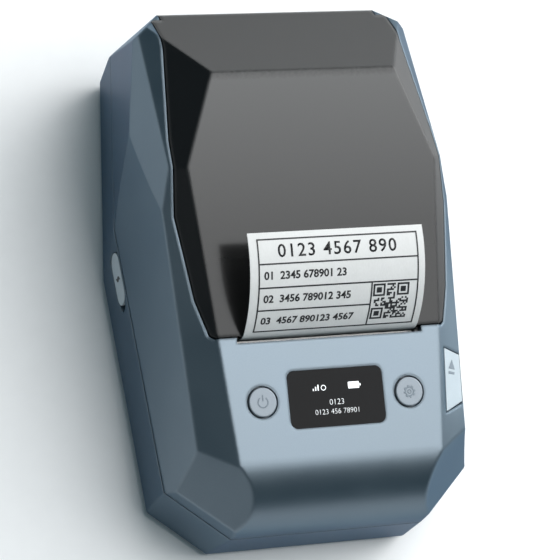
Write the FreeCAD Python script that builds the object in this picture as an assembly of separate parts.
import FreeCAD, Part
import math
import os

V = FreeCAD.Vector

# Frame: +X right, +Y towards the hinge, +Z up, origin under the middle of the base, millimetres.

# Casing form, given for the right half
half_width = 43.8
front_y = -72.5
back_y = 72.5
seam_z = 19.0
foot_proud = 0.6
base_tuck = 1.5
top_slope = 15.3
ridge_y = 41.9
ridge_z = 67.0
ridge_half = half_width - 17.3
rear_slope = 32.5
back_lean = 8.7
bend_radius = 20.0
panel_y = -59.4
panel_half = half_width - 14.9
panel_taper = 0.09
shoulder_y = 9.5
shoulder_z = 51.0
shoulder_half = half_width - 2.3
shoulder_taper = 0.0435
shoulder_rise = 0.2387
shoulder_front_y = -52.5
waist_y = 17.7
haunch_corner = (half_width - 5.9, 27.1, 57.3)
shoulder_back = (half_width - 5.4, 52.5, 56.0)
hip_back = (half_width - 3.7, 54.5, 50.0)
heel = (half_width - 3.8, 60.3, 50.8)
lid_back = (half_width - 11.9, 67.5, 50.7)
seam_back = (half_width - 10.4, back_y, seam_z)
taper_y = 18.8
back_taper = 0.163
back_flare = 0.094
corner_front_half = half_width - 16.1
corner_side_y = -57.9
corner_crease_z = 24.0
base_radius = 3.0
crease_radius = 1.2
crease_angle = 12.0

# Walls and clearances
wall = 2.0
lip_wall = 0.9
lip_height = 1.5
seam_reveal = 0.35
lid_gap = 0.35
button_gap = 0.4
slide_gap = 0.25
run_gap = 0.05
lip_gap = 0.1

# Lid outline in plan, right half
lid_front_y = -26.0
lid_front_half = half_width - 11.6
lid_corner = (half_width - 10.3, lid_front_y + 1.0)
lid_side_front = (half_width - 7.7, -15.4)
lid_side_waist = (half_width - 4.9, 6.9)
lid_side_haunch = haunch_corner[:2]
lid_rear_half = half_width - 9.3
lid_side_back = (lid_rear_half, 54.3)
lid_rear_z = 47.2
lid_rear_start = 60.0

# Hinge
hinge_y = 64.7
hinge_z = 48.6
hinge_barrel_r = 3.3
hinge_pin_r = 1.25
hinge_ear = 2.6
hinge_seat = 1.6
ear_drop = 8.0
hinge_half = lid_rear_half - hinge_ear

# Label, roll and nip
label_half = 25.0
label_thickness = 0.2
roll_y = 28.5
roll_z = 34.5
roll_r = 22.0
core_r = 14.2
core_bore_r = 12.7
core_overhang = 0.4
platen_y = -19.0
platen_z = 41.0
platen_r = 5.0
roller_past = 0.8
platen_half = label_half + roller_past
shaft_r = 2.0
nip_gap = 0.6
slot_width = 1.8
slot_past = 1.6
slot_half = label_half + slot_past
slot_depth = 6.0
label_exit_angle = 68.0
label_exit_drop = 0.4
label_curl_r = 27.9
label_curl_turn = 62.0
label_blend = 0.08
web_turn_down = 7.5
web_bend_r = 6.0
tear_teeth = 34

# Control panel
control_y = -43.2
window_half = 13.7
window_length = 15.4
window_corner = 2.0
window_thickness = 1.3
window_ledge = 1.2
button_x = 21.1
button_r = 3.95
button_proud = 0.35
button_flange = 1.0
button_flange_height = 0.8
button_travel = 0.6
press_gap = 0.1
module_height = 2.6
board_height = 1.2
key_board_half = 27.0
key_board_length = 22.0
switch_size = 5.0
switch_height = 0.6
switch_knob_r = 1.5

# Open key and latch
key_x = half_width - 7.9
key_y = -40.4
key_turn = 32.4
key_length = 16.5
key_width = 7.2
key_slant = 3.5
key_slant_back = 0.8
key_lean = -0.085
key_depth = 2.0
key_travel = 1.5
stem_width = 4.0
stem_thick = 2.4
stem_length = 4.6
wedge_gap = 0.1
wedge_height = 1.6
wedge_past = 5.0
hook_width = 2.0
hook_front_y = -23.9
hook_catch = 1.4
hook_top_z = 32.4
hook_height = 1.8
latch_height = 1.6
leaf_width = 2.0
shelf_past = 4.5

# Drive train
gear_module = 0.5
platen_teeth = 18
idler_teeth = 20
small_teeth = 14
large_teeth = 36
pinion_teeth = 12
gear_width = 1.8
mesh_gap = 0.08
backlash = 0.12
pressure_angle = 20.0
reduction_angle = -50.0
motor_angle = -130.0
motor_r = 9.5
motor_length = 15.5
pin_r = 1.0
pin_cap_r = 1.8
hub_r = 2.4
motor_shaft_r = 1.0
motor_collar_r = 2.6
tooth_rise = 0.9
tooth_root = 1.2
root_blend = 0.1

# Mechanism frame
frame_sheet = 1.0
frame_front_y = -33.5
frame_back_y = -9.5
frame_top_z = 44.5
frame_foot = 6.0
ear_gap = 0.4
frame_inner = platen_half + ear_gap
ear_width = 1.6
ear_r = 4.9
bushing_r = 3.5
bracket_sheet = 1.6
head_half = platen_half
head_plate = 1.0
head_up = 4.5
head_down = 5.0
sink_depth = 3.2
sink_down = 11.0
head_pin_r = 1.25
head_pin_down = 9.4
fin_count = 9
fin_slot = 1.6
spring_sheet = 0.35

# Roll bay and guides
bay_gap = 1.5
bay_wall = 1.5
bay_side_gap = 0.55
bay_top_z = 45.0
ramp_front_y = -12.0
guide_wall = 1.6
guide_r = 16.0
hub_depth = 3.0
hub_gap = 0.4
guide_travel = 4.0
bay_half = label_half + core_overhang + slide_gap + guide_wall + guide_travel + bay_side_gap
guide_foot = 6.0
bay_leg_r = 2.5
bay_leg_inset = 12.72
rack_module = 0.8
rack_teeth = 10
rack_base = 1.8
rack_low_z = 6.0
rack_height = 1.8
rack_past = 9.0
pivot_r = 1.2
pivot_base_r = 2.4

# Charge flap and socket
flap_y = 5.3
flap_z = 14.8
flap_length = 15.0
flap_height = 6.2
flap_thickness = 1.2
flap_gap = 0.25
flap_hinge_y = 11.1
flap_pin_r = 0.5
flap_pin_back = 0.42
flap_pad = 1.6
socket_width = 9.0
socket_height = 3.3
socket_depth = 6.6
socket_shell = 0.35
socket_gap = 0.2
plug_gap = 0.6

# Electronics and fixings
battery_half = 26.0
battery_front_y = -64.0
battery_back_y = -37.0
battery_height = 12.0
board_half = 31.0
board_front_y = -58.0
board_back_y = -38.0
board_z = 17.0
board_sheet = 1.6
chip_boxes = ((0, 0, 5, 5, 1.2), (14, -1, 4, 3, 1.0), (-19, 5.5, 5, 2.5, 4.0), (-16, -5, 4, 2, 1.0))
capacitor_at = (22.0, 4.0)
capacitor_r = 2.5
capacitor_height = 5.0
boss_r = 1.8
foot_r = 4.0
foot_thickness = 1.6
front_foot = (half_width - 11.8, -52.0)
back_foot = (21.0, 61.0)
front_post = (half_width - 6.5, -40.0)
back_post = (half_width - 12.8, 59.5)
post_r = 3.0
post_height = 11.0
screw_r = 1.1
screw_head_r = 2.4
screw_head = 1.9
screw_recess = 0.4
reach = 300.0

parts = {}


def tan(degrees):
    return math.tan(math.radians(degrees))


def polar(degrees):
    return math.cos(math.radians(degrees)), math.sin(math.radians(degrees))


# Shape helpers
def box(x0, x1, y0, y1, z0, z1):
    return Part.makeBox(x1 - x0, y1 - y0, z1 - z0, V(x0, y0, z0))


def cyl_x(radius, x0, x1, y, z):
    return Part.makeCylinder(radius, x1 - x0, V(x0, y, z), V(1, 0, 0))


def cyl_z(radius, z0, z1, x, y):
    return Part.makeCylinder(radius, z1 - z0, V(x, y, z0), V(0, 0, 1))


def prism_x(points, x0, x1):
    ring = [V(x0, y, z) for y, z in points]
    return Part.Face(Part.makePolygon(ring + ring[:1])).extrude(V(x1 - x0, 0, 0))


def prism_z(points, z0, z1):
    ring = [V(x, y, z0) for x, y in points]
    return Part.Face(Part.makePolygon(ring + ring[:1])).extrude(V(0, 0, z1 - z0))


def mirrored(shape):
    return shape.mirror(V(0, 0, 0), V(1, 0, 0))


def joined(first, *others):
    return first.multiFuse(list(others)).removeSplitter()


def outside(normal, distance):
    block = Part.makeBox(reach, reach, reach, V(-reach / 2, -reach / 2, 0))
    turn = FreeCAD.Rotation(V(0, 0, 1), normal)
    block.Placement = FreeCAD.Placement(normal * distance, turn)
    return block


def rounded_plate(half_x, half_y, corner, z0, z1):
    plate = box(-half_x, half_x, -half_y, half_y, z0, z1)
    upright = [e for e in plate.Edges if abs(e.tangentAt(e.FirstParameter).z) > 0.9]
    return plate.makeFillet(corner, upright)


def stadium_x(length, height, x0, x1, y, z):
    # Upright oval plate facing along X
    end = height / 2
    flat = length / 2 - end
    block = box(x0, x1, y - flat, y + flat, z - end, z + end)
    return joined(block, cyl_x(end, x0, x1, y - flat, z), cyl_x(end, x0, x1, y + flat, z))


def bent_sheet(edges, thickness, x0, x1):
    # Sheet that follows a path in the YZ plane
    wire = Part.Wire(edges)
    face = wire.makeOffset2D(thickness, 0, True, True)
    face.translate(V(x0, 0, 0))
    return face.extrude(V(x1 - x0, 0, 0))


def yz(point):
    return V(0, point[0], point[1])


def meet(p, d, q, e):
    # Crossing of two lines, each a point and a direction
    det = d[0] * e[1] - d[1] * e[0]
    t = ((q[0] - p[0]) * e[1] - (q[1] - p[1]) * e[0]) / det
    return p[0] + d[0] * t, p[1] + d[1] * t


# Casing form
def top_z(y):
    return ridge_z - tan(top_slope) * (ridge_y - y)


def crease_x(y):
    return panel_half + panel_taper * (y - panel_y)


def shoulder_at(y):
    run = y - shoulder_y
    return shoulder_half + shoulder_taper * run, shoulder_z + shoulder_rise * run


def facet(p, q, r):
    # Flat facet through three points of the right half, as outward normal and distance
    p, q, r = V(*p), V(*q), V(*r)
    normal = (q - p).cross(r - p).normalize()
    if normal.x < 0:
        normal = normal * -1
    return normal, normal.dot(p)


def side_facets():
    ridge_end = (ridge_half, ridge_y, ridge_z)
    waist = (crease_x(waist_y), waist_y, top_z(waist_y))
    shoulder_waist = (shoulder_half, shoulder_y, shoulder_z)
    flank = V(half_width, taper_y, seam_z)
    flank_back = flank + V(-back_taper, 1, 0)
    flank_up = flank + V(back_flare, 0, 1)
    panel_corner = V(panel_half, panel_y, top_z(panel_y))
    shoulder_front = V(shoulder_at(shoulder_front_y)[0], shoulder_front_y, shoulder_at(shoulder_front_y)[1])
    nose = V(corner_front_half, front_y, corner_crease_z)
    cheek = V(half_width, corner_side_y, corner_crease_z)
    return [
        facet(ridge_end, waist, haunch_corner),
        facet(shoulder_waist, shoulder_back, hip_back),
        facet(heel, lid_back, seam_back),
        facet(flank, flank_back, flank_up),
        facet(panel_corner, shoulder_front, (nose + cheek) / 2),
        facet(nose, cheek, nose + V(0, 0, 1)),
    ]


def moved_chain(points, inset):
    lines = []
    for (x0, z0), (x1, z1) in zip(points, points[1:]):
        length = math.hypot(x1 - x0, z1 - z0)
        shift = ((z0 - z1) / length * inset, (x1 - x0) / length * inset)
        lines.append(((x0 + shift[0], z0 + shift[1]), (x1 - x0, z1 - z0)))
    chain = [lines[0][0]]
    chain += [meet(*a, *b) for a, b in zip(lines, lines[1:])]
    (x, z), (dx, dz) = lines[-1]
    return chain + [(x + dx, z + dz)]


def cross_section(y, inset):
    shoulder = shoulder_at(y)
    crease = (crease_x(y), top_z(y))
    above = (2 * crease[0] - shoulder[0], 2 * crease[1] - shoulder[1])
    chain = moved_chain([(half_width, -seam_z), (half_width, seam_z), shoulder, above], inset)
    ring = [V(x, y, z) for x, z in chain] + [V(-x, y, z) for x, z in reversed(chain)]
    return Part.makePolygon(ring + ring[:1])


def side_profile(inset):
    up, down, lean = top_slope, rear_slope, back_lean
    top_n = (-polar(up)[1], polar(up)[0])
    rear_n = (polar(down)[1], polar(down)[0])
    back_n = polar(lean)

    def inward(y, z, normal):
        return y - normal[0] * inset, z - normal[1] * inset

    top = (inward(ridge_y, ridge_z, top_n), polar(up))
    rear = (inward(ridge_y, ridge_z, rear_n), (rear_n[1], -rear_n[0]))
    back = (inward(back_y, seam_z, back_n), (-back_n[1], back_n[0]))
    floor_z = foot_proud + inset
    bend_y = front_y + bend_radius
    bend_line = (ridge_y - top_n[0] * bend_radius, ridge_z - top_n[1] * bend_radius)
    bend_z = meet(bend_line, polar(up), (bend_y, 0), (0, 1))[1]
    radius = bend_radius - inset
    half_way = polar((90 + up + 180) / 2)
    bend = [(bend_y - radius, bend_z)]
    bend.append((bend_y + half_way[0] * radius, bend_z + half_way[1] * radius))
    bend.append((bend_y + top_n[0] * radius, bend_z + top_n[1] * radius))
    ring = [
        bend[2],
        meet(*top, *rear),
        meet(*rear, *back),
        meet(*back, (0, seam_z), (1, 0)),
        (back_y - base_tuck - inset, floor_z),
        (front_y + base_tuck + inset, floor_z),
        (front_y + inset, seam_z),
        bend[0],
    ]
    edges = [Part.makeLine(yz(a), yz(b)) for a, b in zip(ring, ring[1:])]
    edges.append(Part.Arc(*[yz(p) for p in bend]).toShape())
    face = Part.Face(Part.Wire(edges))
    face.translate(V(-reach / 2, 0, 0))
    return face.extrude(V(reach, 0, 0))


def envelope(inset):
    # The faceted outer form, moved inwards by inset
    ends = (front_y - half_width, back_y + half_width)
    form = Part.makeLoft([cross_section(y, inset) for y in ends], True, True)
    form = form.common(side_profile(inset))
    for normal, distance in side_facets():
        form = form.cut(outside(normal, distance - inset))
        form = form.cut(outside(V(-normal.x, normal.y, normal.z), distance - inset))
    return form.Solids[0]


def crease_edges(form):
    found = []
    for edge in form.Edges:
        middle = edge.valueAt((edge.FirstParameter + edge.LastParameter) / 2)
        normals = []
        for face in form.Faces:
            if any(edge.isSame(other) for other in face.Edges):
                normals.append(face.normalAt(*face.Surface.parameter(middle)))
        if len(normals) == 2 and math.degrees(normals[0].getAngle(normals[1])) > crease_angle:
            found.append(edge)
    return found


def on_panel(shape, y=control_y):
    # Moves a shape drawn flat about the origin onto the sloping top face
    shape.Placement = FreeCAD.Placement(V(0, y, top_z(y)), FreeCAD.Rotation(V(1, 0, 0), top_slope))
    return shape


def base_edges(form):
    return [e for e in form.Edges if all(abs(v.Point.z - foot_proud) < run_gap for v in e.Vertexes)]


sharp = envelope(0)
footed = sharp.makeFillet(base_radius, base_edges(sharp))
outer = footed.makeFillet(crease_radius, crease_edges(footed))
inner = envelope(wall)
core = envelope(wall / 2)
shell = outer.cut(inner)
below_seam = box(-reach, reach, -reach, reach, -reach, seam_z)
above_seam = box(-reach, reach, -reach, reach, seam_z + seam_reveal, reach)


# Lid region
def lid_region(gap):
    half = [
        (lid_front_half + gap, lid_front_y - gap),
        (lid_corner[0] + gap, lid_corner[1] - gap / 2),
        (lid_side_front[0] + gap, lid_side_front[1]),
        (lid_side_waist[0] + gap, lid_side_waist[1]),
        (lid_side_haunch[0] + gap, lid_side_haunch[1]),
        (lid_side_back[0] + gap, lid_side_back[1]),
        (lid_rear_half + gap, reach / 2),
    ]
    plan = prism_z(half + [(-x, y) for x, y in reversed(half)], 0, reach)
    low = frame_top_z - wall - gap
    side = [(-reach, low), (lid_rear_start, low), (lid_rear_start + wall, lid_rear_z - gap)]
    side += [(reach, lid_rear_z - gap), (reach, reach), (-reach, reach)]
    return plan.common(prism_x(side, -reach, reach))


def hinge_ends(radius, near):
    right = cyl_x(radius, near, half_width, hinge_y, hinge_z)
    return joined(right, mirrored(right))


# Nip frame: local Z runs up the label path, local Y from the print head towards the platen
def nip_angle():
    mouth = (lid_front_y - slot_width / 2, top_z(lid_front_y) - label_exit_drop)
    run = (mouth[0] - platen_y, mouth[1] - platen_z)
    turn = math.degrees(math.atan2(run[1], run[0]))
    half = math.degrees(math.asin((platen_r + nip_gap / 2) / math.hypot(*run)))
    return turn - half - 90


nip_lean = nip_angle()
nip_n = polar(nip_lean)
nip_t = (-nip_n[1], nip_n[0])
nip_y = platen_y - nip_n[0] * (platen_r + nip_gap / 2)
nip_z = platen_z - nip_n[1] * (platen_r + nip_gap / 2)


def on_nip(shape):
    shape.Placement = FreeCAD.Placement(V(0, nip_y, nip_z), FreeCAD.Rotation(V(1, 0, 0), nip_lean))
    return shape


def along_nip(distance):
    return nip_y + nip_t[0] * distance, nip_z + nip_t[1] * distance


# Spur gear about an X axis
def involute(angle):
    return math.tan(angle) - angle


def gear_ring(teeth, module, phase):
    pitch_r = teeth * module / 2
    base_r = pitch_r * polar(pressure_angle)[0]
    root_r = pitch_r - tooth_root * module
    tip_r = pitch_r + tooth_rise * module
    half_pitch = math.pi / (2 * teeth) - backlash / (2 * pitch_r)
    swing = involute(math.radians(pressure_angle))
    flank = []
    for radius in (root_r, max(base_r, root_r + root_blend * module), pitch_r, tip_r):
        lean = math.acos(min(1.0, base_r / max(radius, base_r)))
        flank.append((radius, half_pitch + swing - involute(lean)))
    points = []
    for tooth in range(teeth):
        centre = phase + 2 * math.pi * tooth / teeth
        points += [(r, centre - a) for r, a in flank]
        points += [(r, centre + a) for r, a in reversed(flank)]
    return [(r * math.cos(a), r * math.sin(a)) for r, a in points]


def spur(teeth, phase, x0, y, z):
    ring = [(y + a, z + b) for a, b in gear_ring(teeth, gear_module, phase)]
    return prism_x(ring, x0, x0 + gear_width)


def meshed_phase(phase, teeth, direction, other_teeth):
    # Phase of a gear that meshes with one at the given phase, lying in the given direction from it
    step = 2 * math.pi / teeth
    other_step = 2 * math.pi / other_teeth
    share = (phase - direction) / step + 0.5
    return direction + math.pi - share * other_step


def gear_distance(a, b):
    return (a + b) * gear_module / 2 + mesh_gap


gear_in_x = -(frame_inner + frame_sheet + ear_gap + ear_width + ear_gap + gear_width)
gear_out_x = gear_in_x - ear_gap - gear_width
idler_y = platen_y
idler_z = platen_z - gear_distance(platen_teeth, idler_teeth)
reduction_y = idler_y + polar(reduction_angle)[0] * gear_distance(idler_teeth, small_teeth)
reduction_z = idler_z + polar(reduction_angle)[1] * gear_distance(idler_teeth, small_teeth)
motor_y = reduction_y + polar(motor_angle)[0] * gear_distance(large_teeth, pinion_teeth)
motor_z = reduction_z + polar(motor_angle)[1] * gear_distance(large_teeth, pinion_teeth)
ear_inner = frame_inner + frame_sheet + ear_gap
ear_outer = ear_inner + ear_width
floor_z = foot_proud + wall


# Casings
def screw_posts(z0, z1):
    posts = []
    for x, y in (front_post, back_post):
        post = cyl_z(post_r, z0, z1, x, y)
        rib = box(x, x + post_r + wall, y - wall / 2, y + wall / 2, z0, z1)
        right = joined(post, rib).common(core)
        posts += [right, mirrored(right)]
    return posts


def at_posts(radius, z0, z1):
    spots = [(s * x, y) for x, y in (front_post, back_post) for s in (1, -1)]
    return [cyl_z(radius, z0, z1, x, y) for x, y in spots]


def at_feet(radius, z0, z1):
    spots = [(s * x, y) for x, y in (front_foot, back_foot) for s in (1, -1)]
    return [cyl_z(radius, z0, z1, x, y) for x, y in spots]


def flap_recess(gap, depth):
    length, height = flap_length + 2 * gap, flap_height + 2 * gap
    oval = stadium_x(length, height, -half_width - wall, -half_width + depth, flap_y, flap_z)
    swing_r = flap_y + length / 2 - flap_hinge_y
    pocket = cyl_z(swing_r, flap_z - height, flap_z + height, flap_hinge_x, flap_hinge_y)
    deep = stadium_x(length, height, -half_width - wall, 0, flap_y, flap_z)
    rise = (flap_height + gap) / 2
    root = cyl_z(flap_thickness + gap, flap_z - rise, flap_z + rise, flap_hinge_x, flap_hinge_y)
    return joined(oval, pocket.common(deep), root)


flap_hinge_x = -half_width + flap_thickness - flap_pin_back
socket_mouth_x = -half_width + wall + flap_pad / 2


def seam_ring(near, far, z0, z1):
    # Band that runs round inside the wall between two depths
    band = envelope(wall + near).cut(envelope(wall + far))
    return band.common(box(-reach, reach, -reach, reach, z0, z1))


def lower_casing():
    tray = shell.common(below_seam)
    lip = seam_ring(lip_gap, lip_gap + lip_wall, seam_z - lip_height, seam_z + lip_height)
    root = seam_ring(-lip_gap, lip_gap + lip_wall, seam_z - 2 * lip_height, seam_z - lip_height / 2)
    pad = box(-half_width + wall / 2, -half_width + wall + flap_pad, flap_y - flap_length / 2 - wall,
              flap_y + flap_length / 2 + wall, flap_z - flap_height / 2 - wall, seam_z)
    bosses = [cyl_z(boss_r, floor_z - wall / 2, board_z, x, y) for x, y in board_spots()]
    runner_y = rack_module * rack_teeth / 2 + rack_module
    runners = [
        box(-bay_half, bay_half, roll_y + s * runner_y - wall / 2, roll_y + s * runner_y + wall / 2,
            floor_z - wall / 2, rack_low_z - slide_gap)
        for s in (1, -1)
    ]
    runners = [r.common(core) for r in runners]
    pivot = [cyl_z(pivot_base_r, floor_z - wall / 2, rack_low_z - slide_gap, 0, roll_y)]
    pivot.append(cyl_z(pivot_r, floor_z, rack_low_z + rack_height + slide_gap, 0, roll_y))
    rest = box(socket_mouth_x + wall, socket_mouth_x + socket_depth - wall / 2, flap_y - 2 * wall,
               flap_y + 2 * wall, floor_z - wall / 2, flap_z - socket_height / 2 - board_height)
    posts = screw_posts(floor_z - wall / 2, seam_z)
    tray = joined(tray, root, lip, pad, rest, *posts, *bosses, *runners, *pivot)
    tray = tray.cut(flap_recess(flap_gap, flap_thickness + flap_gap))
    mouth = stadium_x(socket_width + 2 * socket_gap, socket_height + 2 * socket_gap, -half_width,
                      -half_width + wall + flap_pad, flap_y, flap_z)
    pin_hole = cyl_z(flap_pin_r + run_gap, flap_z - flap_height / 2 - wall / 2,
                     flap_z + flap_height / 2 + wall / 2, flap_hinge_x, flap_hinge_y)
    notch_y = flap_y - flap_length / 2
    notch = cyl_x(flap_height / 3, -half_width - wall, -half_width + flap_thickness, notch_y, flap_z)
    cuts = [mouth, pin_hole, notch]
    cuts += at_posts(screw_r + slide_gap, 0, reach)
    cuts += at_posts(screw_head_r + slide_gap, 0, foot_proud + screw_recess + screw_head)
    cuts += at_feet(foot_r, 0, foot_thickness)
    parts["lower_casing"] = tray.cut(cuts[0].multiFuse(cuts[1:]))


def board_spots():
    inset = 2 * boss_r
    ys = (board_front_y + inset, board_back_y - inset)
    return [(s * (board_half - boss_r), y) for s in (1, -1) for y in ys]


def on_key(shape):
    # Moves a shape drawn flat about the origin square to the right shoulder facet at the key's middle
    shape.Placement = FreeCAD.Placement(V(key_x, key_y, key_z), FreeCAD.Rotation(V(0, 1, 0), key_turn))
    return shape


def key_region(gap, low, high):
    # Prism of the slanted key along its press direction
    half = key_length / 2 + gap
    inner = -key_width / 2 - gap
    outer_edge = key_width / 2 + gap
    plan = [(inner, half), (outer_edge, half - key_slant_back)]
    plan += [(outer_edge, key_slant - half), (inner, -half)]
    return on_key(prism_z([(u + key_lean * v, v) for u, v in plan], low, high))


key_z = shoulder_at(key_y)[1] + (shoulder_at(key_y)[0] - key_x) * tan(key_turn)
press = V(-polar(90 - key_turn)[0], 0, -polar(90 - key_turn)[1])
wedge_n = (press + V(0, -1, 0)).normalize()
wedge_point = V(key_x, key_y, key_z) + press * stem_length
latch_front_y = wedge_point.y - wedge_past
latch_in_x = ear_outer + slide_gap
latch_out_x = wedge_point.x + stem_thick / 2
latch_low_z = hook_top_z + slide_gap
latch_top_z = latch_low_z + latch_height


def upper_casing():
    cover = shell.common(above_seam)
    cover = cover.cut(lid_region(lid_gap))
    cover = cover.cut(cyl_x(hinge_barrel_r + lid_gap, -hinge_half, hinge_half, hinge_y, hinge_z))
    ears = [hinge_ends(hinge_barrel_r, hinge_half).common(outer)]
    web_y = lid_rear_start + wall + lid_gap
    web = box(hinge_half, half_width, web_y, back_y, hinge_z - ear_drop, hinge_z).common(core)
    ears += [web, mirrored(web)]
    studs = []
    stud_length = wall / 2 + module_height
    for x in (key_board_half - wall, -key_board_half + wall):
        for v in (key_board_length / 2 - wall, -key_board_length / 2 + wall):
            studs.append(on_panel(cyl_z(boss_r, -wall / 2 - stud_length, -wall / 2, x, v)))
    groove = seam_ring(0, 2 * lip_gap + lip_wall, seam_z, seam_z + lip_height + lip_gap)
    posts = [post.cut(groove) for post in screw_posts(seam_z + seam_reveal, seam_z + post_height)]
    cover = joined(cover, *ears, *studs, *posts)
    slot_back = lid_front_y - slot_width
    slot = box(-slot_half, slot_half, slot_back, lid_front_y, top_z(slot_back) - slot_depth, reach)
    hole = on_panel(rounded_plate(window_half, window_length / 2, window_corner, -window_thickness, wall))
    ledge = on_panel(rounded_plate(window_half - window_ledge, window_length / 2 - window_ledge,
                                   window_corner / 2, -2 * wall, 0))
    cuts = [slot, hole, ledge, key_region(button_gap, -2 * key_depth, 2 * key_depth)]
    for x in (button_x, -button_x):
        cuts.append(on_panel(cyl_z(button_r + button_gap, -2 * wall, wall, x, 0)))
    pin_half = hinge_half + hinge_seat
    cuts.append(cyl_x(hinge_pin_r, -pin_half, pin_half, hinge_y, hinge_z))
    cuts += at_posts(screw_r, 0, seam_z + post_height - wall)
    parts["upper_casing"] = cover.cut(cuts[0].multiFuse(cuts[1:]))


def lid_cover():
    lid = shell.common(lid_region(0))
    barrel_half = hinge_half - lid_gap
    barrel = cyl_x(hinge_barrel_r, -barrel_half, barrel_half, hinge_y, hinge_z)
    slope = polar(rear_slope)
    beyond = outside(V(0, slope[0], -slope[1]), hinge_y * slope[0] - hinge_z * slope[1])
    lid = lid.cut(beyond.cut(barrel))
    lid = joined(lid, barrel.common(envelope(0)))
    lid = lid.cut(hinge_ends(hinge_barrel_r + lid_gap, barrel_half))
    lid = lid.cut(cyl_x(hinge_pin_r + run_gap, -hinge_half, hinge_half, hinge_y, hinge_z))
    parts["lid_cover"] = max(lid.Solids, key=lambda s: s.Volume)
    pin_half = hinge_half + hinge_seat
    parts["hinge_pin"] = cyl_x(hinge_pin_r, -pin_half, pin_half, hinge_y, hinge_z)


# Control panel
def control_panel():
    pane_half, pane_half_length = window_half - run_gap, window_length / 2 - run_gap
    pane = rounded_plate(pane_half, pane_half_length, window_corner, -window_thickness, 0)
    parts["display_window"] = on_panel(pane)
    low = -wall - module_height
    module = rounded_plate(window_half + wall / 2, window_length / 2 + wall / 2, wall / 4, low, -wall)
    glass = rounded_plate(window_half - 2 * window_ledge, window_length / 2 - 2 * window_ledge, wall / 4,
                          -wall, -window_thickness - slide_gap)
    parts["display_module"] = on_panel(joined(module, glass))
    board = rounded_plate(key_board_half, key_board_length / 2, wall, low - board_height, low)
    parts["key_board"] = on_panel(board)
    switches = []
    flange_low = -wall - slide_gap - button_flange_height
    for x in (button_x, -button_x):
        side = switch_size / 2
        body = box(x - side, x + side, -side, side, low, low + switch_height)
        knob = cyl_z(switch_knob_r, low + switch_height, flange_low - button_travel - press_gap, x, 0)
        switches.append(on_panel(joined(body, knob)))
    parts["tact_switches"] = Part.makeCompound(switches)
    for name, x in (("power_button", -button_x), ("settings_button", button_x)):
        cap = cyl_z(button_r, -wall - slide_gap, button_proud, x, 0)
        rim = [e for e in cap.Edges if abs(e.CenterOfMass.z - button_proud) < 0.01 and e.Closed]
        cap = cap.makeFillet(button_proud, rim)
        flange = cyl_z(button_r + button_flange, flange_low, -wall - slide_gap, x, 0)
        parts[name] = on_panel(joined(cap, flange))


# Open key with its wedge-ended stem, the latch slide that the wedge drives forward, and its leaf spring
def open_latch():
    cap = outer.cut(envelope(key_depth)).common(key_region(0, -2 * key_depth, 2 * key_depth))
    stem = box(-stem_thick / 2, stem_thick / 2, -stem_width / 2, stem_width / 2, -reach / 2, -key_depth / 2)
    wedge_at = wedge_n.dot(wedge_point)
    stem = on_key(stem).cut(outside(wedge_n, wedge_at - wedge_gap / 2))
    stem = stem.cut(box(-reach, reach, -reach, reach, -reach, latch_top_z + key_travel + slide_gap))
    parts["open_button"] = joined(cap, stem)
    tip = hook_front_y + hook_catch - slide_gap
    slide = box(latch_in_x, latch_out_x, latch_front_y, tip, latch_low_z, latch_top_z)
    block = box(latch_in_x, latch_out_x, latch_front_y, wedge_point.y + stem_width, latch_low_z,
                wedge_point.z + wedge_height)
    block = block.cut(outside(wedge_n * -1, -wedge_at - wedge_gap / 2))
    room = envelope(key_depth + key_travel + 2 * slide_gap)
    block = block.common(room)
    room.translate(V(0, key_travel, 0))
    block = block.common(room)
    parts["latch_bar"] = joined(slide, max(block.Solids, key=lambda s: s.Volume))
    stop = latch_front_y - shelf_past / 2
    touch = (latch_front_y - spring_sheet, latch_low_z + latch_height / 2)
    edges = [
        Part.makeLine(yz((stop, hook_top_z)), yz((stop, latch_top_z))),
        Part.makeLine(yz((stop, latch_top_z)), yz(touch)),
    ]
    parts["latch_spring"] = bent_sheet(edges, spring_sheet, latch_out_x - leaf_width, latch_out_x)


# Lid-side print mechanism
def platen_group():
    x_far = gear_in_x - ear_gap / 2
    shaft = cyl_x(shaft_r, x_far, ear_outer + ear_gap, platen_y, platen_z)
    parts["platen_shaft"] = shaft
    roller = cyl_x(platen_r, -platen_half, platen_half, platen_y, platen_z)
    parts["platen_roller"] = roller.cut(cyl_x(shaft_r, -reach, reach, platen_y, platen_z))
    wheel = spur(platen_teeth, platen_phase, gear_in_x, platen_y, platen_z)
    parts["platen_gear"] = wheel.cut(cyl_x(shaft_r, -reach, reach, platen_y, platen_z))
    bushes = []
    for side in (1, -1):
        bush = cyl_x(bushing_r, ear_inner, ear_outer, platen_y, platen_z)
        bush = bush.cut(cyl_x(shaft_r + run_gap, 0, reach, platen_y, platen_z))
        bushes.append(bush if side == 1 else mirrored(bush))
    parts["platen_bushings"] = Part.makeCompound(bushes)


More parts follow.
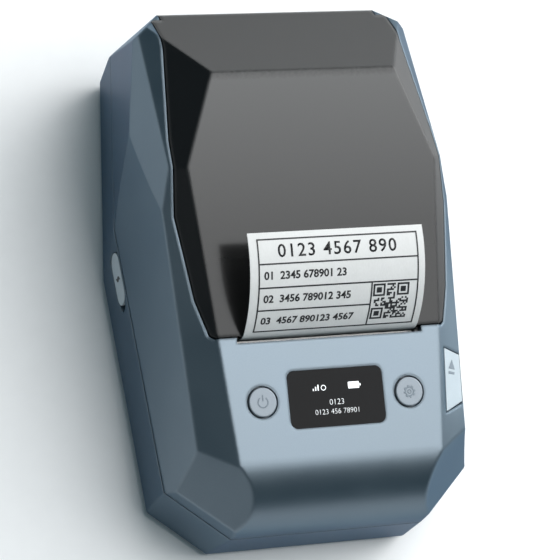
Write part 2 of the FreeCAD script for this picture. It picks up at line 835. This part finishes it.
def platen_bracket():
    near = lid_front_y - platen_y + wall
    plate = box(-ear_outer, ear_outer, near, 3 * platen_r - wall, -wall - bracket_sheet, -wall)
    plate = on_panel(plate, platen_y)
    ear = cyl_x(ear_r, ear_inner, ear_outer, platen_y, platen_z)
    high = top_z(platen_y)
    neck = prism_x([(platen_y - ear_r, platen_z), (platen_y + ear_r, platen_z),
                    (platen_y + 2 * ear_r, high), (platen_y - ear_r, high)], ear_inner, ear_outer)
    ear = joined(ear, neck.common(inner))
    ear = ear.cut(cyl_x(bushing_r, 0, reach, platen_y, platen_z))
    arm_back = hook_front_y + hook_catch + 2 * wall
    hook_x = ear_outer + hook_width
    hook_low_z = hook_top_z - hook_height
    arm = box(ear_outer, hook_x, hook_front_y + hook_catch, arm_back, hook_low_z, platen_z + wall)
    arm = arm.cut(cyl_x(bushing_r, 0, reach, platen_y, platen_z))
    nose = prism_x([(hook_front_y, hook_top_z), (hook_front_y + hook_catch, hook_top_z),
                    (hook_front_y + hook_catch, hook_low_z),
                    (hook_front_y + hook_catch / 2, hook_low_z)], ear_outer, hook_x)
    parts["platen_bracket"] = joined(plate, ear, mirrored(ear), arm, nose)


# Drive train
platen_phase = -math.pi / 2
idler_phase = meshed_phase(platen_phase, platen_teeth, -math.pi / 2, idler_teeth)
small_phase = meshed_phase(idler_phase, idler_teeth, math.radians(reduction_angle), small_teeth)
pinion_phase = meshed_phase(small_phase, large_teeth, math.radians(motor_angle), pinion_teeth)


def drive_train():
    idler = spur(idler_teeth, idler_phase, gear_in_x, idler_y, idler_z)
    parts["idler_gear"] = idler.cut(cyl_x(pin_r + run_gap, -reach, reach, idler_y, idler_z))
    parts["idler_pin"] = cyl_x(pin_r, gear_in_x - slide_gap / 2, -frame_inner, idler_y, idler_z)
    small = spur(small_teeth, small_phase, gear_in_x, reduction_y, reduction_z)
    large = spur(large_teeth, small_phase, gear_out_x, reduction_y, reduction_z)
    hub = cyl_x(hub_r, gear_out_x, gear_in_x + gear_width, reduction_y, reduction_z)
    wheel = joined(large, small, hub)
    parts["reduction_gear"] = wheel.cut(cyl_x(pin_r + run_gap, -reach, reach, reduction_y, reduction_z))
    stud = cyl_x(pin_r, gear_out_x - slide_gap, -frame_inner, reduction_y, reduction_z)
    cap_x = gear_out_x - slide_gap
    cap = cyl_x(pin_cap_r, cap_x - wall / 2, cap_x, reduction_y, reduction_z)
    parts["reduction_pin"] = joined(stud, cap)
    can = cyl_x(motor_r, -frame_inner, -frame_inner + motor_length, motor_y, motor_z)
    rim = [e for e in can.Edges if e.Closed and e.CenterOfMass.x > -frame_inner + wall]
    can = can.makeFillet(wall / 2, rim)
    collar = cyl_x(motor_collar_r, -frame_inner - frame_sheet, -frame_inner, motor_y, motor_z)
    can = joined(can, collar)
    shaft_end = -frame_inner + motor_length - wall
    parts["drive_motor"] = can.cut(cyl_x(motor_shaft_r + run_gap, -reach, shaft_end, motor_y, motor_z))
    parts["motor_shaft"] = cyl_x(motor_shaft_r, cap_x, shaft_end - slide_gap, motor_y, motor_z)
    pinion = spur(pinion_teeth, pinion_phase, gear_out_x, motor_y, motor_z)
    parts["motor_pinion"] = pinion.cut(cyl_x(motor_shaft_r, -reach, 0, motor_y, motor_z))


# Base-side print mechanism
def mechanism_frame():
    low = floor_z
    side = [(frame_front_y, low), (frame_back_y, low), (frame_back_y, reduction_z + 2 * wall),
            (platen_y + ear_r, frame_top_z), (nip_y - sink_depth, frame_top_z),
            (frame_front_y, platen_z - ear_r)]
    cheek = prism_x(side, frame_inner, frame_inner + frame_sheet)
    notch_half = shaft_r + slide_gap
    notch = box(0, reach, platen_y - notch_half, platen_y + notch_half, platen_z, reach)
    notch = joined(notch, cyl_x(notch_half, 0, reach, platen_y, platen_z))
    foot = box(frame_inner - frame_foot, frame_inner, frame_front_y, frame_back_y, low, low + frame_sheet)
    foot = foot.cut(box(-reach, reach, motor_y - motor_r, motor_y + motor_r, low, low + wall))
    half = joined(cheek.cut(notch), foot)
    bridge = box(-frame_inner, frame_inner, frame_front_y, frame_front_y + frame_sheet, low, idler_z)
    open_half = frame_inner - frame_foot
    bridge = bridge.cut(box(-open_half, open_half, -reach, reach, low + frame_foot, idler_z - frame_foot))
    shelf = box(frame_inner, latch_out_x, latch_front_y - shelf_past, hook_front_y - wall / 2,
                hook_top_z - wall / 2, hook_top_z)
    gusset = prism_x([(frame_front_y, hook_top_z), (hook_front_y - wall / 2, hook_top_z),
                      (frame_front_y, hook_top_z - 3 * wall)], frame_inner, frame_inner + frame_sheet)
    frame = joined(half, mirrored(half), bridge, shelf, gusset)
    pin = along_pivot()
    cuts = [
        cyl_x(head_pin_r, -reach, reach, *pin),
        cyl_x(pin_r, -reach, 0, idler_y, idler_z),
        cyl_x(pin_r, -reach, 0, reduction_y, reduction_z),
        cyl_x(motor_collar_r, -reach, 0, motor_y, motor_z),
    ]
    parts["mechanism_frame"] = frame.cut(cuts[0].multiFuse(cuts[1:]))


def along_pivot():
    y, z = along_nip(-head_pin_down)
    depth = nip_gap / 2 + head_plate + sink_depth / 2
    return y - nip_n[0] * depth, z - nip_n[1] * depth


def print_head():
    face = -nip_gap / 2
    plate = box(-head_half, head_half, face - head_plate, face, -head_down, head_up)
    parts["print_head"] = on_nip(plate)
    back = face - head_plate
    sink = box(-head_half, head_half, back - sink_depth, back, -sink_down, head_up)
    pitch = 2 * head_half / (fin_count + 1)
    for fin in range(1, fin_count + 1):
        x = -head_half + fin * pitch
        sink = sink.cut(box(x - fin_slot / 2, x + fin_slot / 2, back - 2 * sink_depth, back - sink_depth / 2,
                            -head_down, reach))
    sink = on_nip(sink)
    pin = along_pivot()
    parts["heat_sink"] = sink.cut(cyl_x(head_pin_r + run_gap, -reach, reach, *pin))
    edge = frame_inner + frame_sheet
    parts["head_pivot_pin"] = cyl_x(head_pin_r, -edge, edge, *pin)
    rear = nip_gap / 2 + head_plate + sink_depth + spring_sheet
    touch = along_nip(0)
    touch = (touch[0] - nip_n[0] * rear, touch[1] - nip_n[1] * rear)
    root = frame_front_y + frame_sheet + spring_sheet / 2
    bend = (root, idler_z)
    edges = [
        Part.makeLine(yz((root, idler_z - frame_foot)), yz(bend)),
        Part.makeLine(yz(bend), yz(touch)),
    ]
    leaf_half = head_half / 2
    parts["head_spring"] = bent_sheet(edges, spring_sheet, -leaf_half, leaf_half)


# Roll bay, guides and label stock
def web_tangent():
    # Label web: from under the roll, up the ramp, round into the nip
    corner = along_nip(-web_turn_down)
    run = (roll_y - corner[0], roll_z - corner[1])
    span = math.hypot(*run)
    web_r = roll_r + label_thickness
    turn = math.atan2(run[1], run[0]) - math.asin(web_r / span)
    return corner, math.degrees(turn), math.sqrt(span * span - web_r * web_r)


def roll_bay():
    corner, turn, length = web_tangent()
    down = polar(turn)
    bay_r = roll_r + bay_gap
    drum = cyl_x(bay_r + bay_wall, -bay_half - bay_wall, bay_half + bay_wall, roll_y, roll_z)
    drum = drum.cut(cyl_x(bay_r, -bay_half, bay_half, roll_y, roll_z))
    drum = drum.common(box(-reach, reach, -reach, reach, 0, bay_top_z))
    foot = (roll_y + bay_r * polar(turn - 90)[0], roll_z + bay_r * polar(turn - 90)[1])
    far = length + 2 * bay_r
    head = (foot[0] - down[0] * far, foot[1] - down[1] * far)
    mouth = prism_x([foot, head, (head[0], reach), (foot[0], reach)], -bay_half, bay_half)
    drum = drum.cut(mouth)
    ramp_end = meet(foot, down, (ramp_front_y, 0), (0, 1))
    under = (-down[1] * -bay_wall, down[0] * -bay_wall)
    ramp = prism_x([foot, ramp_end, (ramp_end[0] + under[0], ramp_end[1] + under[1]),
                    (foot[0] + under[0], foot[1] + under[1])], -label_half, label_half)
    legs = []
    for x in (bay_half - bay_leg_inset, bay_leg_inset - bay_half):
        for y in (roll_y - roll_r / 2, roll_y + roll_r / 2):
            leg = cyl_z(bay_leg_r, floor_z, roll_z, x, y)
            legs.append(leg.cut(cyl_x(bay_r + bay_wall / 2, -reach, reach, roll_y, roll_z)))
    bay = joined(drum, ramp, *legs)
    for side in (1, -1):
        near = label_half + core_overhang + slide_gap / 2
        slot_near, slot_far = roll_y - guide_foot / 2 - slide_gap, roll_y + guide_foot / 2 + slide_gap
        slot = box(near, bay_half, slot_near, slot_far, 0, roll_z)
        bay = bay.cut(slot if side == 1 else mirrored(slot))
    parts["roll_bay"] = bay
    sensor_at = (ramp_end[0] + down[0] * 2 * wall, ramp_end[1] + down[1] * 2 * wall)
    sensor = box(-2 * wall, 2 * wall, 0, 3 * wall, -2 * wall, 0)
    sensor.Placement = FreeCAD.Placement(V(4 * wall, sensor_at[0] + under[0], sensor_at[1] + under[1]),
                                         FreeCAD.Rotation(V(1, 0, 0), turn))
    parts["label_sensor"] = sensor


def rack_ring(low, high, base):
    # Rack teeth along X, facing -Y, with a tooth gap at x = 0
    pitch = math.pi * rack_module
    half = pitch / 4 - backlash / 2
    slope = tan(pressure_angle)
    tip, root = -tooth_rise * rack_module, tooth_root * rack_module
    first = math.ceil((low + pitch) / pitch - 0.5)
    last = math.floor((high - pitch) / pitch - 0.5)
    points = [(low, base), (low, root)]
    for tooth in range(first, last + 1):
        x = (tooth + 0.5) * pitch
        points += [(x - half - root * slope, root), (x - half + -tip * slope, tip)]
        points += [(x + half + tip * slope, tip), (x + half + root * slope, root)]
    return points + [(high, root), (high, base)]


def roll_guides():
    x0 = label_half + core_overhang + slide_gap
    x1 = x0 + guide_wall
    low, high = rack_low_z, rack_low_z + rack_height
    pitch_r = rack_module * rack_teeth / 2 + mesh_gap
    base = tooth_root * rack_module + rack_base
    plate = cyl_x(guide_r, x0, x1, roll_y, roll_z)
    hub_end_r = core_bore_r - 2 * hub_gap
    hub = Part.makeCone(core_bore_r - hub_gap, hub_end_r, hub_depth, V(x0, roll_y, roll_z), V(-1, 0, 0))
    foot = box(x0, x1, roll_y - guide_foot / 2, roll_y + guide_foot / 2, low, roll_z)
    toe = box(x0, x1, roll_y, roll_y + pitch_r + base, low, high)
    rack = prism_z([(x, roll_y + pitch_r + y) for x, y in rack_ring(-rack_past, x1, base)], low, high)
    bore = cyl_x(core_bore_r / 2, 0, reach, roll_y, roll_z)
    right = joined(plate, hub, foot, toe, rack).cut(bore)
    parts["roll_guide_right"] = right
    left = right.copy()
    left.rotate(V(0, roll_y, 0), V(0, 0, 1), 180)
    parts["roll_guide_left"] = left
    ring = gear_ring(rack_teeth, rack_module, math.pi / 2)
    pinion = prism_z([(a, roll_y + b) for a, b in ring], low, high)
    parts["centring_pinion"] = pinion.cut(cyl_z(pivot_r + run_gap, 0, reach, 0, roll_y))


def label_stock():
    roll = cyl_x(roll_r, -label_half, label_half, roll_y, roll_z)
    parts["label_roll"] = roll.cut(cyl_x(core_r, -reach, reach, roll_y, roll_z))
    edge = label_half + core_overhang
    core_tube = cyl_x(core_r, -edge, edge, roll_y, roll_z)
    parts["label_core"] = core_tube.cut(cyl_x(core_bore_r, -reach, reach, roll_y, roll_z))
    corner, turn, length = web_tangent()
    down = polar(turn)
    half_turn = math.radians((180 + turn - (90 + nip_lean)) / 2)
    cut_back = web_bend_r * math.tan(half_turn)
    a = (corner[0] + down[0] * length, corner[1] + down[1] * length)
    b = (corner[0] + down[0] * cut_back, corner[1] + down[1] * cut_back)
    d = (corner[0] + nip_t[0] * cut_back, corner[1] + nip_t[1] * cut_back)
    toward = ((b[0] + d[0]) / 2 - corner[0], (b[1] + d[1]) / 2 - corner[1])
    reach_mid = web_bend_r / math.cos(half_turn) - web_bend_r
    scale = reach_mid / math.hypot(*toward)
    c = (corner[0] + toward[0] * scale, corner[1] + toward[1] * scale)
    end = along_nip(-nip_gap)
    edges = [
        Part.makeLine(yz(a), yz(b)),
        Part.Arc(yz(b), yz(c), yz(d)).toShape(),
        Part.makeLine(yz(d), yz(end)),
    ]
    parts["label_web"] = bent_sheet(edges, label_thickness, -label_half, label_half)
    start = along_nip(0)
    mouth_z = top_z(lid_front_y) - label_exit_drop
    mouth = (lid_front_y - slot_width / 2, mouth_z)
    centre_turn = polar(label_exit_angle + 90)
    centre = (mouth[0] - centre_turn[0] * label_curl_r, mouth[1] - centre_turn[1] * label_curl_r)
    curl = []
    for share in (label_blend, 0.5, 1.0):
        spot = polar(label_exit_angle + 90 - label_curl_turn * share)
        curl.append((centre[0] + spot[0] * label_curl_r, centre[1] + spot[1] * label_curl_r))
    before = (mouth[0] - nip_t[0] * wall, mouth[1] - nip_t[1] * wall)
    middle = ((before[0] + curl[0][0]) / 2, (before[1] + curl[0][1]) / 2)
    blend = ((middle[0] + mouth[0]) / 2, (middle[1] + mouth[1]) / 2)
    edges = [
        Part.makeLine(yz(start), yz(before)),
        Part.Arc(yz(before), yz(blend), yz(curl[0])).toShape(),
        Part.Arc(yz(curl[0]), yz(curl[1]), yz(curl[2])).toShape(),
    ]
    parts["printed_label"] = bent_sheet(edges, label_thickness, -label_half, label_half)


def tear_bar():
    # Serrated strip under the panel's edge at the label slot
    slot_back = lid_front_y - slot_width
    pitch = 2 * slot_half / tear_teeth
    points = [(-slot_half, -2 * wall)]
    for tooth in range(tear_teeth):
        points.append((-slot_half + tooth * pitch, 0))
        points.append((-slot_half + (tooth + 0.5) * pitch, slide_gap))
    points += [(slot_half, 0), (slot_half, -2 * wall)]
    parts["tear_bar"] = on_panel(prism_z(points, -wall - spring_sheet, -wall), slot_back)


# Charge flap and socket
def charge_port():
    plate = stadium_x(flap_length, flap_height, -half_width, -half_width + flap_thickness, flap_y, flap_z)
    reach_y = flap_hinge_y - (flap_y + flap_length / 2 - flap_height / 2)
    half = math.sqrt((flap_height / 2) ** 2 - reach_y ** 2)
    pin = cyl_z(flap_pin_r, flap_z - half - wall / 3, flap_z + half + wall / 3, flap_hinge_x, flap_hinge_y)
    plug = stadium_x(socket_width - 2 * plug_gap, socket_height - 2 * plug_gap, -half_width + flap_thickness,
                     -half_width + flap_thickness + wall / 2, flap_y, flap_z)
    parts["charge_flap"] = joined(plate, pin, plug)
    mouth_x = socket_mouth_x
    back_x = mouth_x + socket_depth
    can = stadium_x(socket_width, socket_height, mouth_x, back_x, flap_y, flap_z)
    hollow = stadium_x(socket_width - 2 * socket_shell, socket_height - 2 * socket_shell, mouth_x,
                       back_x - socket_shell, flap_y, flap_z)
    tongue = box(mouth_x + wall / 2, back_x, flap_y - socket_width / 3, flap_y + socket_width / 3,
                 flap_z - socket_shell, flap_z + socket_shell)
    parts["charge_socket"] = joined(can.cut(hollow), tongue)
    z1 = flap_z - socket_height / 2
    parts["socket_board"] = box(-half_width + wall + flap_pad, back_x, flap_y - socket_width,
                                flap_y + socket_width, z1 - board_height, z1)


# Electronics and fixings
def electronics():
    battery_top = floor_z + battery_height
    pack = box(-battery_half, battery_half, battery_front_y, battery_back_y, floor_z, battery_top)
    long_edges = [e for e in pack.Edges if abs(e.tangentAt(e.FirstParameter).x) > 0.9]
    parts["battery_pack"] = pack.makeFillet(wall, long_edges)
    top = board_z + board_sheet
    board = box(-board_half, board_half, board_front_y, board_back_y, board_z, top)
    mid_y = (board_front_y + board_back_y) / 2
    chips = []
    for x, v, half_x, half_y, height in chip_boxes:
        chips.append(box(x - half_x, x + half_x, mid_y + v - half_y, mid_y + v + half_y, top, top + height))
    chips.append(cyl_z(capacitor_r, top, top + capacitor_height, capacitor_at[0], mid_y + capacitor_at[1]))
    parts["main_board"] = joined(board, *chips)


def fixings():
    parts["rubber_feet"] = Part.makeCompound(at_feet(foot_r, 0, foot_thickness))
    head_low = foot_proud + screw_recess
    tip = seam_z + post_height - 2 * wall
    heads = at_posts(screw_head_r, head_low, head_low + screw_head)
    shanks = at_posts(screw_r, head_low + screw_head, tip)
    parts["casing_screws"] = Part.makeCompound([joined(h, s) for h, s in zip(heads, shanks)])


lower_casing()
upper_casing()
lid_cover()
control_panel()
open_latch()
platen_group()
platen_bracket()
drive_train()
mechanism_frame()
print_head()
roll_bay()
roll_guides()
label_stock()
tear_bar()
charge_port()
electronics()
fixings()

os.makedirs("parts", exist_ok=True)
for name, shape in parts.items():
    shape.exportStep("parts/" + name + ".step")
    print(name, len(shape.Solids), shape.isValid(), round(shape.Volume, 1))
